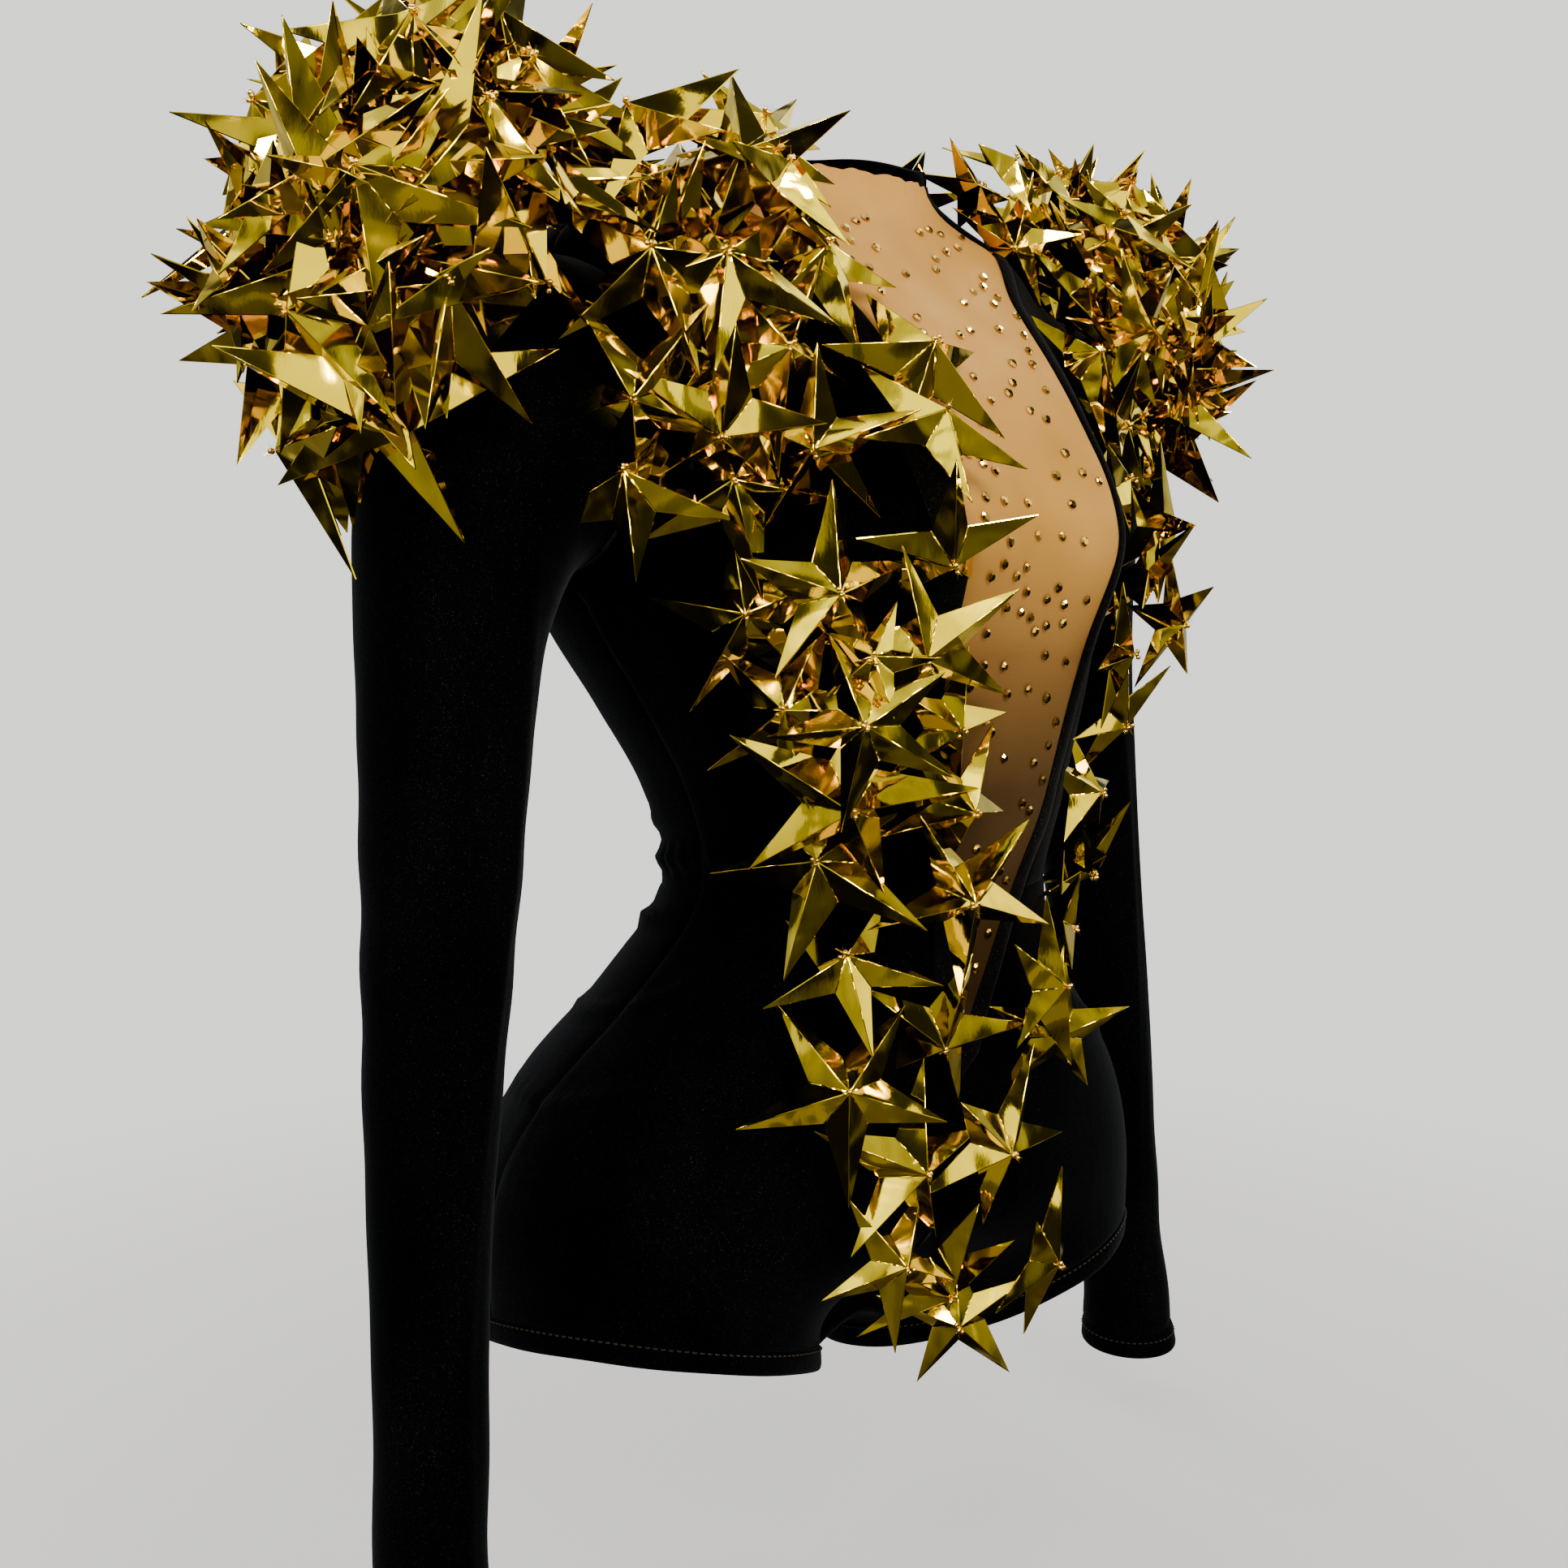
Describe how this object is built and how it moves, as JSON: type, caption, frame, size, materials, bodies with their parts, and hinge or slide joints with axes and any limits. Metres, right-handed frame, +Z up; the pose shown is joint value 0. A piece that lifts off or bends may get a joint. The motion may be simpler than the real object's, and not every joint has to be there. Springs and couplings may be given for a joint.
{
  "type": "cheer uniform",
  "caption": "Long-sleeved velvet bodysuit with shorts legs, a sheer rhinestone plunge panel, a back zip, and folded gold foil stars massed on the shoulders and down the front.",
  "frame": {"origin": "centre of the waist, inside the garment, where the mount worn_on_body is", "axes": "+Z up along the trunk, -Y towards the wearer's front, +X towards the wearer's left"},
  "size_m": [0.6806, 0.3328, 0.7696],
  "materials": {
    "black_velvet": "stretch velvet, deep black, matt with a faint sheen at the edges",
    "velvet_binding": "velvet strip turned over the edge, slightly brighter sheen",
    "nude_mesh": "fine sheer stretch mesh in a nude shade",
    "gold_foil": "mirror gold metallised plastic card, folded",
    "zip_tape": "woven black tape",
    "zip_coil": "black nylon coil",
    "dark_metal": "black lacquered metal"
  },
  "bodies": {
    "torso": {"right_front_bodice": "black_velvet", "left_front_bodice": "black_velvet", "right_back_bodice": "black_velvet", "left_back_bodice": "black_velvet", "right_front_shorts": "black_velvet", "left_front_shorts": "black_velvet", "right_back_shorts": "black_velvet", "left_back_shorts": "black_velvet", "crotch_gusset": "black_velvet", "plunge_mesh_panel": "nude_mesh", "right_plunge_binding": "velvet_binding", "left_plunge_binding": "velvet_binding", "right_neck_binding": "velvet_binding", "left_neck_binding": "velvet_binding", "right_leg_hem": "velvet_binding", "left_leg_hem": "velvet_binding", "right_zip_tape": "zip_tape", "left_zip_tape": "zip_tape", "right_zip_coil": "zip_coil", "left_zip_coil": "zip_coil", "zip_bottom_stop": "dark_metal", "neck_hook": "dark_metal", "neck_eye": "dark_metal", "right_star_01": "gold_foil", "right_star_02": "gold_foil", "right_star_03": "gold_foil", "right_star_04": "gold_foil", "right_star_05": "gold_foil", "right_star_06": "gold_foil", "right_star_07": "gold_foil", "right_star_08": "gold_foil", "right_star_09": "gold_foil", "right_star_10": "gold_foil", "right_star_11": "gold_foil", "right_star_12": "gold_foil", "right_star_13": "gold_foil", "right_star_14": "gold_foil", "right_star_15": "gold_foil", "left_star_01": "gold_foil", "left_star_02": "gold_foil", "left_star_03": "gold_foil", "left_star_04": "gold_foil", "left_star_05": "gold_foil", "left_star_06": "gold_foil", "left_star_07": "gold_foil", "hip_star_01": "gold_foil", "hip_star_02": "gold_foil", "hip_star_03": "gold_foil", "hip_star_04": "gold_foil", "hip_star_05": "gold_foil"},
    "right_sleeve_body": {"right_sleeve": "black_velvet", "right_cuff_hem": "velvet_binding", "right_shoulder_stars": "gold_foil"},
    "left_sleeve_body": {"left_sleeve": "black_velvet", "left_cuff_hem": "velvet_binding", "left_shoulder_stars": "gold_foil"},
    "zip_slider_body": {"zip_slider": "dark_metal"},
    "zip_pull_body": {"zip_pull_tab": "dark_metal"}
  },
  "joints": [
    {"name": "right_sleeve_swing", "type": "hinge", "parent": "torso", "child": "right_sleeve_body", "pos_m": [-0.163, 0.01, 0.21596], "axis": [-1, 0, 0], "range_deg": [-25, 80]},
    {"name": "left_sleeve_swing", "type": "hinge", "parent": "torso", "child": "left_sleeve_body", "pos_m": [0.163, 0.01, 0.24204], "axis": [-1, 0, 0], "range_deg": [-25, 80]},
    {"name": "zip_travel", "type": "hinge", "parent": "torso", "child": "zip_slider_body", "pos_m": [0, -0.123, 0.215], "axis": [-1, 0, 0], "range_deg": [0, 43]},
    {"name": "zip_pull_flip", "type": "hinge", "parent": "zip_slider_body", "child": "zip_pull_body", "pos_m": [0, 0.10885, 0.29272], "axis": [1, 0, 0], "range_deg": [0, 165]}
  ]
}
